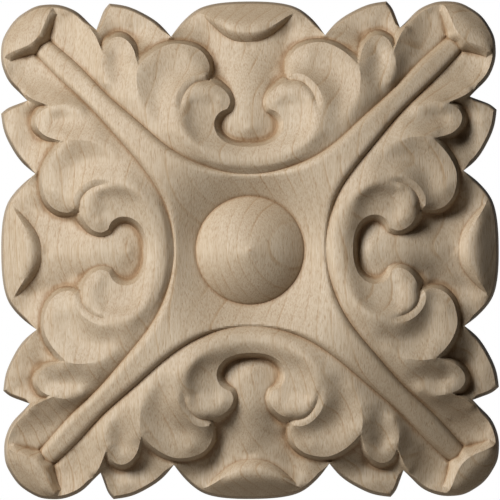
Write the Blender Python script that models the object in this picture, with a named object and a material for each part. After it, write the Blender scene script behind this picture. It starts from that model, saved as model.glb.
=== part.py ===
"""Carved wooden rosette, a four-inch square block of pale maple carved on its face.

The rosette is one piece of wood.  A round button stands in a dished hub.  Four arms run from the
hub to the corners, where each ends under a tip that curls forward.  A leaf with a scroll and two
smaller lobes grows from each side of every arm, and behind the leaves lies a lower ground with a
curled lip at the middle of each side and a pointed leaf at each side of it.  The back is flat.

The pattern repeats eight times, so one eighth is drawn: the part above the centre between the
upright middle line (u = 0) and the diagonal (u = v).  Places are (u, v, height) in millimetres,
with u to the right, v upwards and height measured forward from the back.  The finished piece
stands upright, its back in the XZ plane and its carved face towards -Y.
"""

import math

import bmesh
import bpy
import numpy as np
from mathutils import Vector
from mathutils.geometry import delaunay_2d_cdt

MILLIMETRE = 0.001
NODE_NAME = "carved_rosette"

HALF_SIDE = 51.0
THICKNESS = 22.0

LINE_GAP = 1.5
FILL_GAP = 1.75
BACK_GAP = 9.0

BUTTON_RADIUS = 11.1
BUTTON_FOOT = 16.4
BUTTON_SLOPE = 0.28
BUTTON_BULGE = 0.66

CREST_RADIUS = 24.0
CREST_HEIGHT = 20.55
ARM_SLOPE = 0.58
ARM_BEND = 16.0
ARM_CROWN = 0.8
ARM_CROWN_WIDTH = 1.7
CROWN_START = 4.0

# The cut along the groove and the rounding of the edges, finer than a knife's width.
NICK_DEPTH = 0.45
NICK_WIDTH = 0.8
WALL_EASE = 0.3
LIP_ROLL = 1.6
EDGE_ROUND = 0.8
EDGE_START = math.radians(40)
EDGE_DRAFT = 0.5
EDGE_STEPS = 2

# Spacing of the places that fill the surfaces: rows of even triangles, clear of every line by a
# share of the spacing, and the margin without places along the edge of the back.
ROW_STEP = math.sqrt(3) / 2
SIDE_CLEAR = 0.6
LINE_CLEAR = 0.5
BACK_MARGIN = 6.0
BUTTON_SIDES = 4
PLATE_GIVE = 0.001
TINY = 1e-12

# The groove between the hub with its arms and the leaves; its height follows the arm.
GROOVE = [(0, 15.55), (4.1, 15.9), (8.2, 16.95), (12.4, 18.75), (16.5, 21.4), (22.8, 26.7),
          (29.05, 32.25), (34.6, 38.05), (40.4, 43.4)]
ARM_END = [(40.4, 43.4), (42.3, 42.3)]

# Top edge of the leaf, from the middle line round the scroll, the two lobes and the corner lobe.
SCROLL_POCKET = [(0, 21.0, 18.45), (3.2, 21.4, 18.45), (5.6, 22.6, 18.35), (6.9, 24.6, 17.9),
                 (6.9, 26.6, 17.5), (5.9, 28.1, 17.3), (4.4, 28.8, 17.1)]
SCROLL_NOSE = [(4.4, 28.8, 17.1), (3.8, 30.2, 17.0), (4.2, 31.7, 16.9), (5.4, 33.1, 16.7),
               (6.8, 33.9, 16.75), (8.2, 34.2, 16.65)]
SCROLL_NOTCH = [(8.2, 34.2, 16.65), (8.6, 34.8, 15.85), (8.4, 35.4, 15.85)]
BROAD_LOBE = [(8.4, 35.4, 15.85), (8.0, 37.0, 14.65), (8.3, 38.8, 14.05), (9.3, 40.4, 13.95),
              (11.0, 41.6, 13.9), (13.2, 42.2, 14.05), (15.4, 42.3, 14.15), (17.6, 41.6, 14.45),
              (19.6, 40.4, 15.0), (21.2, 39.0, 15.55), (22.5, 37.6, 16.3)]
SMALL_LOBE = [(22.5, 37.6, 16.3), (22.9, 39.4, 15.0), (23.7, 41.7, 13.85), (25.1, 43.2, 12.7),
              (26.9, 43.7, 12.05), (28.4, 43.0, 12.05), (29.3, 41.6, 12.75), (29.7, 40.4, 13.45)]
CORNER_SIDE = [(29.7, 40.4, 13.45), (30.4, 42.2, 12.25), (31.2, 44.0, 11.15), (32.3, 45.7, 9.9)]

# Foot of the leaf on the ground, below the same edges.
POCKET_FOOT = [(0, 22.17, 15.55), (2.75, 22.47, 15.55), (4.56, 23.41, 15.45), (5.54, 25.31, 15.4),
               (4.66, 27.25, 15.55), (3.38, 28.19, 15.8)]
NOSE_FOOT = [(3.38, 28.19, 15.8), (2.81, 29.86, 15.65), (2.99, 31.37, 15.3), (3.72, 32.94, 14.5),
             (5.0, 34.37, 13.35), (7.24, 36.02, 13.25)]
BROAD_FOOT = [(7.24, 36.02, 13.25), (6.98, 37.22, 11.85), (7.21, 39.0, 11.0), (8.23, 40.73, 10.5),
              (9.8, 42.08, 10.5), (11.84, 42.92, 10.95), (14.22, 43.2, 11.3), (16.55, 43.0, 11.75),
              (18.73, 42.24, 11.75), (20.46, 41.11, 12.15), (22.32, 39.86, 13.6)]
SMALL_FOOT = [(22.32, 39.86, 13.6), (22.57, 41.64, 11.6), (23.34, 43.19, 9.45),
              (24.69, 44.42, 9.0), (26.7, 44.99, 8.55), (28.34, 44.45, 8.8), (29.6, 43.4, 9.95),
              (29.95, 42.0, 11.3)]
CORNER_FOOT = [(29.95, 42.0, 11.3), (30.25, 43.7, 10.4), (31.1, 45.4, 9.3)]

# Ridges and hollows of the leaf between the groove and its edge.
HEEL = [(0, 17.1, 19.15), (4.3, 17.4, 19.45), (8.8, 18.5, 19.75), (13.0, 20.7, 19.9),
        (16.8, 24.0, 19.45)]
BAND = [(0, 18.8, 19.35), (4.2, 19.1, 19.6), (8.0, 20.1, 20.05), (10.9, 22.0, 20.35),
        (12.8, 24.6, 20.25), (13.5, 27.0, 19.75), (13.4, 29.3, 19.0)]
BRINK = [(8.8, 35.8, 16.2), (10.1, 35.95, 16.45), (11.8, 35.4, 16.85), (13.4, 34.1, 17.5),
         (14.6, 32.2, 18.3), (14.9, 30.2, 18.95), (14.6, 28.4, 19.4)]
SLIT = [(8.6, 34.8, 15.85), (9.4, 34.65, 16.2), (10.5, 34.45, 16.6), (11.65, 33.8, 17.0),
        (12.75, 32.6, 17.6), (13.5, 31.0, 18.2), (14.0, 28.6, 19.3)]
SCROLL_RIM = [(9.3, 34.1, 17.0), (10.4, 34.0, 17.15), (11.4, 33.4, 17.55), (12.3, 32.2, 18.0),
              (12.9, 30.8, 18.6)]
SCROLL_HOLLOW = [(6.0, 30.6, 17.55), (8.0, 29.6, 17.35), (9.3, 27.4, 17.8), (9.6, 24.8, 18.45),
                 (7.6, 22.6, 18.9), (4.0, 20.6, 19.1)]
SCROLL_RISE = [(11.5, 29.6, 18.1), (11.9, 27.2, 18.8), (11.7, 25.0, 19.4), (10.3, 23.0, 19.6)]
BROAD_SIDE = [(9.5, 37.3, 15.35), (11.6, 37.5, 15.5), (13.7, 36.6, 15.6), (15.4, 35.1, 16.15),
              (16.4, 33.0, 17.1), (16.7, 30.8, 18.1), (16.4, 28.6, 18.9)]
BROAD_HOLLOW = [(12.6, 40.0, 14.95), (15.2, 38.8, 15.0), (17.4, 36.8, 15.4), (18.5, 34.2, 16.15),
                (18.8, 31.6, 17.1), (18.6, 29.2, 18.0), (17.6, 27.0, 18.85)]
BROAD_RIM = [(22.5, 37.6, 16.3), (22.8, 36.0, 16.85), (22.8, 34.2, 17.2), (22.5, 32.0, 17.65),
             (21.8, 30.0, 17.9), (20.6, 28.2, 18.3)]
SMALL_SIDE = [(24.0, 38.2, 15.3), (24.2, 36.2, 15.9), (24.2, 34.0, 16.65), (23.9, 31.8, 17.2)]
SMALL_HOLLOW = [(26.4, 41.6, 12.95), (26.8, 39.2, 13.3), (26.9, 36.6, 14.35), (26.6, 34.0, 15.35),
                (25.9, 31.6, 16.15)]
CORNER_RIM = [(29.7, 40.4, 13.45), (30.1, 38.4, 13.85), (29.9, 36.4, 14.2), (29.3, 34.4, 14.65)]
CORNER_HOLLOW = [(33.6, 45.2, 8.98), (33.6, 42.0, 9.88), (33.3, 39.4, 10.68), (32.1, 37.2, 11.98)]
CORNER_SCOOP = [(37.4, 48.0, 7.0), (37.6, 45.6, 6.95), (37.0, 43.2, 7.6), (35.6, 41.2, 8.7)]

LEAF_RIDGES = [BAND, BRINK, SLIT, BROAD_RIM, CORNER_RIM]
LEAF_HOLLOWS = [HEEL, SCROLL_RIM, SCROLL_HOLLOW, SCROLL_RISE, BROAD_SIDE, BROAD_HOLLOW,
                SMALL_SIDE, SMALL_HOLLOW, CORNER_HOLLOW, CORNER_SCOOP]

# Crisp arrises of the leaf, and a cut where the height is less than nothing: each with its height,
# the width of its flanks and the share of its length over which it fades out; all of them rise
# from nothing within a small share of their length at the start.
CREST_START = 0.08
LEAF_CRESTS = [(SLIT, -0.45, 1.0, 0.6), (BRINK, 0.2, 1.2, 0.5), (BROAD_RIM, 0.6, 3.0, 0.9),
               (CORNER_RIM, 0.5, 3.0, 0.9), (CORNER_SIDE, 0.4, 2.0, 0.3), (HEEL, 0.15, 1.3, 0.6)]

# Creases where the lip of each side and the tip of each corner curl up from the carving.
LIP_CREASE = [(0, 42.65, 11.7), (2.2, 42.8, 11.35), (4.2, 43.55, 10.9), (6.2, 45.0, 10.4),
              (8.2, 46.9, 9.9), (10.3, 49.3, 9.4)]
LIP_CREST = [(0, 44.65, 13.0), (2.2, 44.8, 12.9), (4.8, 45.75, 12.2), (7.2, 47.25, 11.2),
             (9.4, 48.5, 9.45)]
LIP_BROW = [(0, 45.6, 12.85), (2.4, 45.75, 12.75), (5.0, 46.6, 12.0)]
LIP_FACE = [(0, 47.9, 11.15), (2.6, 47.95, 11.05), (5.4, 48.5, 10.3)]
TIP_CREASE = [(40.4, 43.4, 6.6), (40.3, 44.5, 6.35), (39.9, 46.1, 6.45), (39.35, 47.9, 6.75),
              (38.6, 49.3, 7.05), (37.9, 50.3, 7.2)]
TIP_CREST = [(39.5, 50.8, 7.0), (40.4, 49.5, 7.7), (41.2, 47.9, 8.3), (41.85, 46.2, 8.75),
             (42.5, 44.8, 9.0), (43.5, 43.5, 9.2)]
TIP_FACE = [(45.0, 45.0, 8.34), (43.6, 46.3, 8.29), (42.4, 48.0, 7.99)]
TIP_BROW = [(46.2, 46.2, 6.97), (44.7, 47.7, 6.93), (43.0, 48.8, 7.2)]

# Hollows of the ground.
MIDDLE_GROUND = [(0, 25.0, 16.5), (0, 29.0, 16.1), (0, 33.0, 15.15), (0, 36.5, 13.55),
                 (0, 39.5, 12.35), (0, 41.6, 11.5)]
SIDE_GROUND = [(3.4, 35.6, 13.35), (4.6, 38.6, 11.7), (5.8, 41.4, 10.8), (7.8, 44.0, 9.8),
               (10.4, 46.2, 9.6)]
POINTED_GROUND = [(19.0, 44.8, 10.45), (22.0, 46.0, 9.25), (25.0, 47.3, 8.95), (27.6, 48.2, 8.3)]

# Silhouette with the height of its shoulder, in stretches that end at a notch or a tip, and the
# share of the edge rounding that each stretch takes at its two ends.
SIDE_LIP = [(0, 51.0, 8.65), (4.1, 50.88, 8.7), (7.2, 50.5, 8.75), (10.3, 49.5, 9.15),
            (12.4, 48.0, 9.25), (14.3, 46.05, 10.0), (15.9, 43.9, 12.05)]
POINTED_LEAF = [(15.9, 43.9, 12.05), (18.1, 46.45, 10.05), (21.6, 48.8, 9.1), (25.0, 50.25, 8.3),
                (28.4, 50.8, 7.65)]
POINTED_BACK = [(28.4, 50.8, 7.65), (29.4, 49.6, 7.8), (30.2, 47.8, 8.45), (31.1, 45.4, 9.3)]
CORNER_LOBE = [(31.1, 45.4, 9.3), (32.75, 47.0, 8.8), (34.8, 48.95, 7.65), (37.0, 50.1, 7.4),
               (39.1, 50.65, 6.95), (41.2, 50.7, 6.8), (43.3, 50.4, 6.25), (45.5, 49.35, 5.75),
               (47.7, 47.7, 5.55)]
NOTCH_SHARE = 0.15
NOTCH_RUN = 1 / 6
OUTLINE = [(SIDE_LIP, 1, NOTCH_SHARE), (POINTED_LEAF, NOTCH_SHARE, 1),
           (POINTED_BACK, 1, NOTCH_SHARE), (CORNER_LOBE, NOTCH_SHARE, 1)]

# Finish of the mesh; the weld and the slivers are in metres.
WELD = 0.0000002
SLIVER = 0.00000001
SHARP_ANGLE = 40


def mirror_axis(places):
    """The same places on the other side of the upright middle line."""
    turned = np.array(places, float)
    turned[:, 0] *= -1
    return turned


def mirror_diagonal(places):
    """The same places on the other side of the diagonal."""
    turned = np.array(places, float)
    turned[:, [0, 1]] = turned[:, [1, 0]]
    return turned


def flow(places, gap):
    """Smooth line through the places, with points about a gap apart.

    A line that starts on the middle line or ends on the diagonal runs on into its mirror image,
    so that it crosses them squarely.
    """
    knots = np.array(places, float)
    first = 0
    last = len(knots) - 1
    if len(knots) > 2 and abs(knots[0, 0]) < 1e-9:
        knots = np.vstack([mirror_axis(knots[:0:-1]), knots])
        first = last
        last = 2 * last
    if len(places) > 2 and abs(knots[-1, 0] - knots[-1, 1]) < 1e-9:
        knots = np.vstack([knots, mirror_diagonal(knots[:-1][::-1])])
    steps = np.linalg.norm(np.diff(knots[:, :2], axis=0), axis=1)
    along = np.concatenate([[0], np.cumsum(steps)])
    count = len(knots)
    system = np.eye(count)
    bends = np.zeros_like(knots)
    for i in range(1, count - 1):
        system[i, i - 1:i + 2] = steps[i - 1], 2 * (steps[i - 1] + steps[i]), steps[i]
        after = (knots[i + 1] - knots[i]) / steps[i]
        before = (knots[i] - knots[i - 1]) / steps[i - 1]
        bends[i] = 6 * (after - before)
    bends = np.linalg.solve(system, bends)
    line = []
    for i in range(first, last):
        pieces = max(1, round(steps[i] / gap))
        for k in range(pieces):
            t = k / pieces
            s = 1 - t
            bow = ((s ** 3 - s) * bends[i] + (t ** 3 - t) * bends[i + 1]) * steps[i] ** 2 / 6
            line.append(s * knots[i] + t * knots[i + 1] + bow)
    line.append(knots[last])
    return np.array(line)


class Skin:
    """Smooth surface, a thin plate, through heights at scattered places."""

    def __init__(self, places):
        places = np.unique(np.round(np.array(places), 6), axis=0)
        self.spots = places[:, :2]
        count = len(places)
        system = np.zeros((count + 3, count + 3))
        system[:count, :count] = self.pull(self.spots) + PLATE_GIVE * np.eye(count)
        system[:count, count:] = self.plane(self.spots)
        system[count:, :count] = self.plane(self.spots).T
        self.weights = np.linalg.solve(system, np.concatenate([places[:, 2], np.zeros(3)]))

    def pull(self, spots):
        square = ((spots[:, None, :] - self.spots[None, :, :]) ** 2).sum(axis=2)
        return 0.5 * square * np.log(square + TINY)

    def plane(self, spots):
        return np.hstack([np.ones((len(spots), 1)), spots])

    def heights(self, spots):
        return np.hstack([self.pull(spots), self.plane(spots)]) @ self.weights


def reach(spots, line):
    """Distance from each spot to a line, and the height of the line at its nearest point."""
    start = line[:-1, :2]
    run = np.diff(line[:, :2], axis=0)
    offset = spots[:, None, :] - start[None, :, :]
    share = np.clip((offset * run).sum(axis=2) / ((run ** 2).sum(axis=1) + TINY), 0, 1)
    gaps = np.linalg.norm(offset - share[:, :, None] * run, axis=2)
    nearest = gaps.argmin(axis=1)
    row = np.arange(len(spots))
    share = share[row, nearest]
    if line.shape[1] == 2:
        return gaps[row, nearest], None
    low = line[nearest, 2]
    high = line[nearest + 1, 2]
    return gaps[row, nearest], low + share * (high - low)


def inside(spots, ring):
    """True for each spot that lies within a closed ring."""
    found = np.zeros(len(spots), bool)
    u = spots[:, 0]
    v = spots[:, 1]
    for a, b in zip(ring, np.roll(ring, -1, axis=0)):
        if a[1] == b[1]:
            continue
        crosses = (a[1] > v) != (b[1] > v)
        found ^= crosses & (u < a[0] + (v - a[1]) * (b[0] - a[0]) / (b[1] - a[1]))
    return found


def star_heights(spots, groove):
    """Heights of the button, the dished hub and the crowned arms."""
    radius = np.hypot(spots[:, 0], spots[:, 1])
    bulge = BUTTON_BULGE * (radius / BUTTON_RADIUS) ** 2 / 3
    button = THICKNESS - radius * (BUTTON_SLOPE + bulge)
    rise = (radius - BUTTON_RADIUS) / (CREST_RADIUS - BUTTON_RADIUS)
    dish = BUTTON_FOOT + (CREST_HEIGHT - BUTTON_FOOT) * np.sin(np.clip(rise, 0, 1) * math.pi / 2)
    fall = np.hypot(np.maximum(radius - CREST_RADIUS, 0), ARM_BEND) - ARM_BEND
    away, _ = reach(spots, groove)
    crown = np.clip((radius - groove[0, 1]) / CROWN_START, 0, 1) * ARM_CROWN
    nick = NICK_DEPTH * np.clip(1 - away / NICK_WIDTH, 0, 1) ** 2
    arm = dish - ARM_SLOPE * fall - crown * np.clip(1 - away / ARM_CROWN_WIDTH, 0, 1) ** 2 - nick
    return np.where(radius < BUTTON_RADIUS - 1e-6, button, arm)


def joined(*lines):
    """Lines that follow one another, as one."""
    rows = [line[:-1] for line in lines[:-1]] + [lines[-1]]
    return np.vstack(rows)


def silhouette(gap):
    """Outline of the eighth, and the share of the edge rounding at each of its points."""
    stretches = []
    shares = []
    for places, start, end in OUTLINE:
        line = flow(places, gap)
        t = np.linspace(0, 1, len(line))
        ease = np.minimum(1, start + t / NOTCH_RUN) * np.minimum(1, end + (1 - t) / NOTCH_RUN)
        stretches.append(line)
        shares.append(ease)
    line = joined(*stretches)
    share = np.concatenate([part[:-1] for part in shares[:-1]] + [shares[-1]])
    return line, share


def inward(line):
    """Mitred directions into the wood at the points of the silhouette."""
    ahead = np.vstack([mirror_axis(line[1:2]), line, mirror_diagonal(line[-2:-1])])[:, :2]
    run = np.diff(ahead, axis=0)
    run /= np.linalg.norm(run, axis=1)[:, None]
    normal = np.stack([run[:, 1], -run[:, 0]], axis=1)
    mitre = normal[:-1] + normal[1:]
    return mitre / (mitre * normal[1:]).sum(axis=1)[:, None]


def edge_ring(line, share, angle):
    """Silhouette at one step of the rounded edge, which is upright once the angle is right."""
    inset = share * (EDGE_DRAFT + EDGE_ROUND * (1 - math.sin(angle)))
    ring = line.copy()
    ring[:, :2] += inward(line) * inset[:, None]
    ring[:, 2] -= share * EDGE_ROUND * (math.cos(EDGE_START) - math.cos(angle))
    ring[0, 0] = 0
    ring[-1, :2] = ring[-1, :2].mean()
    number = np.arange(len(line))
    tip = np.linalg.norm(line[:, :2] - POINTED_LEAF[-1][:2], axis=1).argmin()
    offset = ring[:, :2] - ring[tip, :2]
    past = (number < tip) & (offset @ (line[tip] - line[tip - 1])[:2] > 0)
    past |= (number > tip) & (offset @ (line[tip + 1] - line[tip])[:2] < 0)
    ring[past] = ring[tip]
    return ring


def pinned(line, shoulder):
    """The line cut off where it reaches the shoulder, and the point of the shoulder it ends on."""
    beyond = ~inside(line, np.vstack([np.zeros((1, 3)), shoulder]))
    beyond[0] = False
    beyond[-1] = True
    end = line[beyond.argmax()]
    nearest = np.linalg.norm(shoulder[:, :2] - end[:2], axis=1).argmin()
    kept = line[:beyond.argmax()]
    away, _ = reach(kept[:, :2], shoulder)
    step = np.linalg.norm(np.diff(shoulder[:2, :2], axis=0))
    return np.vstack([kept[away > SIDE_CLEAR * step], shoulder[nearest]]), nearest


def wall_heights(spots, edge, foot):
    """Heights of the cut between the leaf's edge and its foot, easing out at both."""
    to_edge, top = reach(spots, edge)
    to_foot, base = reach(spots, foot)
    share = to_edge / (to_edge + to_foot + 1e-9)
    eased = share ** 2 * (3 - 2 * share)
    return top + (base - top) * (share + WALL_EASE * (eased - share))


def crest_heights(spots, crests):
    """What the crisp arrises add to the surface, most along their lines."""
    added = np.zeros(len(spots))
    for line, width in crests:
        away, tall = reach(spots, line)
        added += tall * np.clip(1 - away / width, 0, 1) ** 2
    return added


def rolled_heights(spots, crease, crest):
    """Heights of a lip that rises steeply from its crease and rolls over towards its crest."""
    to_crease, low = reach(spots, crease)
    to_crest, high = reach(spots, crest)
    share = to_crest / (to_crease + to_crest + 1e-9)
    return high + (low - high) * share ** LIP_ROLL


class Drawing:
    """Every line of the eighth, and the surfaces between them."""

    def __init__(self, gap):
        def drawn(*parts):
            return [flow(part, gap) for part in parts]

        outline, share = silhouette(gap)
        angles = np.linspace(EDGE_START, math.pi / 2, EDGE_STEPS + 1)
        self.outline = outline
        self.rings = [edge_ring(outline, share, angle) for angle in angles]
        shoulder = self.rings[0]

        groove, arm_end = drawn(GROOVE, ARM_END)
        groove = np.column_stack([groove, star_heights(groove, groove)])
        arm_end = np.column_stack([arm_end, star_heights(arm_end, groove)])
        arm_end[0] = groove[-1]
        tip_crease, tip_at = pinned(flow(TIP_CREASE, gap), shoulder)
        tip_crease[0] = groove[-1]
        lip_crease, lip_at = pinned(flow(LIP_CREASE, gap), shoulder)
        edges = drawn(SCROLL_POCKET, SCROLL_NOSE, SCROLL_NOTCH, BROAD_LOBE, SMALL_LOBE)
        side, leaf_at = pinned(flow(CORNER_SIDE, gap), shoulder)
        edge = joined(*edges, side)
        feet = drawn(POCKET_FOOT, NOSE_FOOT, BROAD_FOOT, SMALL_FOOT)
        side, foot_at = pinned(flow(CORNER_FOOT, gap), shoulder)
        foot = joined(*feet, side)

        leaf_lines = drawn(*LEAF_RIDGES, *LEAF_HOLLOWS)
        leaf_crests = []
        for places, tall, width, fade in LEAF_CRESTS:
            line = flow(places, gap)
            left = np.linspace(1, 0, len(line))
            line[:, 2] = tall * np.minimum(np.minimum(1, left / fade), (1 - left) / CREST_START)
            leaf_crests.append((line, width))
        ground_lines = drawn(MIDDLE_GROUND, SIDE_GROUND, POINTED_GROUND)
        lip_crest, lip_brow, lip_face = drawn(LIP_CREST, LIP_BROW, LIP_FACE)
        lip_crest[-1] = lip_crease[-1]
        tip_crest, brow_at = pinned(flow(TIP_CREST, gap)[::-1], shoulder)
        tip_lines = drawn(TIP_FACE, TIP_BROW)

        sides = max(BUTTON_SIDES, round(BUTTON_RADIUS * math.pi / 4 / gap))
        turns = np.linspace(0, math.pi / 4, sides + 1)
        button = np.column_stack([BUTTON_RADIUS * np.sin(turns), BUTTON_RADIUS * np.cos(turns),
                                  np.full(len(turns), BUTTON_FOOT)])
        button[-1, 0] = button[-1, 1]

        self.lines = [groove, arm_end, button, lip_crease, lip_crest, tip_crease, tip_crest,
                      shoulder, edge, foot] + leaf_lines[:len(LEAF_RIDGES)]

        centre = np.zeros((1, 3))
        self.surfaces = [
            (np.vstack([centre, groove, arm_end[1:]]),
             lambda spots: star_heights(spots, groove)),
            (np.vstack([edge, shoulder[foot_at:leaf_at][::-1], foot[::-1]]),
             lambda spots: wall_heights(spots, edge, foot)),
            self.skin([groove[::-1], edge, shoulder[leaf_at:tip_at], tip_crease[::-1]],
                      leaf_lines, mirror_axis, leaf_crests),
            self.skin([foot, shoulder[lip_at:foot_at][::-1], lip_crease[::-1]],
                      ground_lines, mirror_axis),
            (np.vstack([lip_crease, lip_crest[::-1]]),
             lambda spots: rolled_heights(spots, lip_crease, lip_crest)),
            self.skin([lip_crest, shoulder[:lip_at][::-1]], [lip_brow, lip_face], mirror_axis),
            (np.vstack([tip_crease, shoulder[tip_at + 1:brow_at], tip_crest[::-1],
                        arm_end[::-1]]),
             lambda spots: rolled_heights(spots, np.vstack([arm_end[::-1], tip_crease[1:]]),
                                          tip_crest)),
            self.skin([tip_crest, shoulder[brow_at + 1:]], tip_lines, mirror_diagonal)]

    @staticmethod
    def skin(ring_parts, inner_lines, mirror, crests=()):
        """A surface through its ring and the lines inside it, smooth but for its crests."""
        ring = np.vstack(ring_parts)
        data = np.vstack([ring] + inner_lines)
        data[:, 2] -= crest_heights(data[:, :2], crests)
        plate = Skin(np.vstack([data, mirror(data)]))
        return ring, lambda spots: plate.heights(spots) + crest_heights(spots, crests)


def scattered(drawing, fill):
    """Evenly spaced places between the lines, each at the height of its surface."""
    rows = int(HALF_SIDE / (fill * ROW_STEP)) + 2
    spots = []
    for j in range(rows):
        for i in range(rows):
            u = (i + 0.5 * (j % 2)) * fill
            v = j * fill * ROW_STEP
            if abs(u - v) < SIDE_CLEAR * fill:
                u = v = (u + v) / 2
            elif u < SIDE_CLEAR * fill:
                u = 0.0
            if u <= v:
                spots.append((u, v))
    spots = np.unique(np.round(np.array(spots), 6), axis=0)
    for line in drawing.lines:
        away, _ = reach(spots, line)
        spots = spots[away > LINE_CLEAR * fill]
    probe = spots + [0, 1e-3]
    probe[spots[:, 0] == 0, 0] += 1e-3
    placed = []
    for ring, heights in drawing.surfaces:
        here = inside(probe, ring)
        placed.append(np.column_stack([spots[here], heights(spots[here])]))
        spots = spots[~here]
        probe = probe[~here]
    return np.vstack(placed)


def triangulated(places, lines, ring):
    """Triangles inside a ring that keep every line as edges."""
    index = {}
    corners = []
    edges = []

    def number(place):
        key = (round(place[0], 4), round(place[1], 4))
        if key not in index:
            index[key] = len(corners)
            corners.append(tuple(place))
        return index[key]

    for line in lines:
        row = [number(place) for place in line]
        edges += [(a, b) for a, b in zip(row, row[1:]) if a != b]
    for place in places:
        number(place)
    flat = [Vector((u, v)) for u, v, _ in corners]
    made = delaunay_2d_cdt(flat, edges, [], 0, 1e-6, True)
    vertices = []
    for spot, sources in zip(made[0], made[3]):
        if not sources:
            raise ValueError(f"two lines cross at {spot}")
        vertices.append(corners[sources[0]])
    middles = np.array([np.mean([vertices[i] for i in face], axis=0) for face in made[2]])
    kept = inside(middles, ring)
    return vertices, [face for face, keep in zip(made[2], kept) if keep]


def border(places, lines):
    """The two straight sides of the eighth, through every place that lies on them."""
    every = np.vstack([places] + lines + [[[0, 0, THICKNESS]]])
    upright = every[np.abs(every[:, 0]) < 1e-6]
    slanted = every[np.abs(every[:, 0] - every[:, 1]) < 1e-6]
    return [upright[upright[:, 1].argsort()], slanted[slanted[:, 1].argsort()]]


def eighth(gap, fill, back_fill):
    """Face, edge and back of one eighth, as triangles of (u, v, height) places."""
    drawing = Drawing(gap)
    centre = np.zeros((1, 3))
    places = scattered(drawing, fill)
    shoulder = drawing.rings[0]
    lines = drawing.lines + border(places, drawing.lines)
    corners, faces = triangulated(places, lines, np.vstack([centre, shoulder]))
    triangles = [[corners[i] for i in face] for face in faces]

    base = drawing.outline * [1, 1, 0]
    rings = drawing.rings + [base]
    for upper, lower in zip(rings, rings[1:]):
        for i in range(len(upper) - 1):
            triangles.append([upper[i], lower[i], lower[i + 1]])
            triangles.append([upper[i], lower[i + 1], upper[i + 1]])

    flat_lines = [base]
    steps = np.arange(back_fill, HALF_SIDE - BACK_MARGIN, back_fill)
    middle = np.array([(u, u, 0) for u in steps])
    upright = middle * [0, 1, 0]
    inner = [(u, v, 0) for u in steps for v in steps if v > u]
    inner = np.vstack([middle, upright, inner])
    sides = border(inner, flat_lines)
    for side in sides:
        side[0, 2] = 0
    corners, faces = triangulated(inner, flat_lines + sides, np.vstack([centre, base]))
    triangles += [[corners[i] for i in face][::-1] for face in faces]
    return triangles


def whole(triangles):
    """Mesh of the piece: the eighth, mirrored and turned about the centre, as one closed body."""
    piece = bmesh.new()
    for mirrored in (1, -1):
        for turn in range(4):
            across = round(math.cos(turn * math.pi / 2))
            up = round(math.sin(turn * math.pi / 2))
            for triangle in triangles:
                corners = triangle if mirrored == 1 else triangle[::-1]
                verts = []
                for u, v, height in corners:
                    u = u * mirrored
                    x = u * across - v * up
                    z = u * up + v * across
                    verts.append(piece.verts.new((x * MILLIMETRE, -height * MILLIMETRE,
                                                  z * MILLIMETRE)))
                piece.faces.new(verts)
    bmesh.ops.remove_doubles(piece, verts=piece.verts, dist=WELD)
    bmesh.ops.dissolve_degenerate(piece, edges=piece.edges, dist=SLIVER)
    bmesh.ops.recalc_face_normals(piece, faces=piece.faces)
    return piece


def wood():
    """Pale unfinished maple."""
    material = bpy.data.materials.new("maple")
    material.use_nodes = True
    shader = material.node_tree.nodes["Principled BSDF"]
    shader.inputs["Base Color"].default_value = (0.56, 0.43, 0.29, 1)
    shader.inputs["Roughness"].default_value = 0.62
    shader.inputs["Metallic"].default_value = 0.0
    return material


def rosette():
    """The carved rosette as one object."""
    piece = whole(eighth(LINE_GAP, FILL_GAP, BACK_GAP))
    mesh = bpy.data.meshes.new(NODE_NAME)
    piece.to_mesh(mesh)
    piece.free()
    mesh.materials.append(wood())
    mesh.shade_smooth()
    mesh.set_sharp_from_angle(angle=math.radians(SHARP_ANGLE))
    carved = bpy.data.objects.new(NODE_NAME, mesh)
    bpy.context.scene.collection.objects.link(carved)
    return carved


for old in list(bpy.data.objects):
    bpy.data.objects.remove(old, do_unlink=True)
rosette()
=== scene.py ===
"""Carved wooden rosette, a four-inch square block of pale maple carved on its face.

The rosette is one piece of wood.  A round button stands in a dished hub.  Four arms run from the
hub to the corners, where each ends under a tip that curls forward.  A leaf with a scroll and two
smaller lobes grows from each side of every arm, and behind the leaves lies a lower ground with a
curled lip at the middle of each side and a pointed leaf at each side of it.  The back is flat.

The pattern repeats eight times, so one eighth is drawn: the part above the centre between the
upright middle line (u = 0) and the diagonal (u = v).  Places are (u, v, height) in millimetres,
with u to the right, v upwards and height measured forward from the back.  The piece hangs
upright, its back in the XZ plane and its carved face towards -Y.
"""

import math

import bmesh
import bpy
import numpy as np
from bpy.props import FloatProperty, FloatVectorProperty, IntProperty, PointerProperty
from mathutils import Matrix, Vector
from mathutils.geometry import delaunay_2d_cdt


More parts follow.
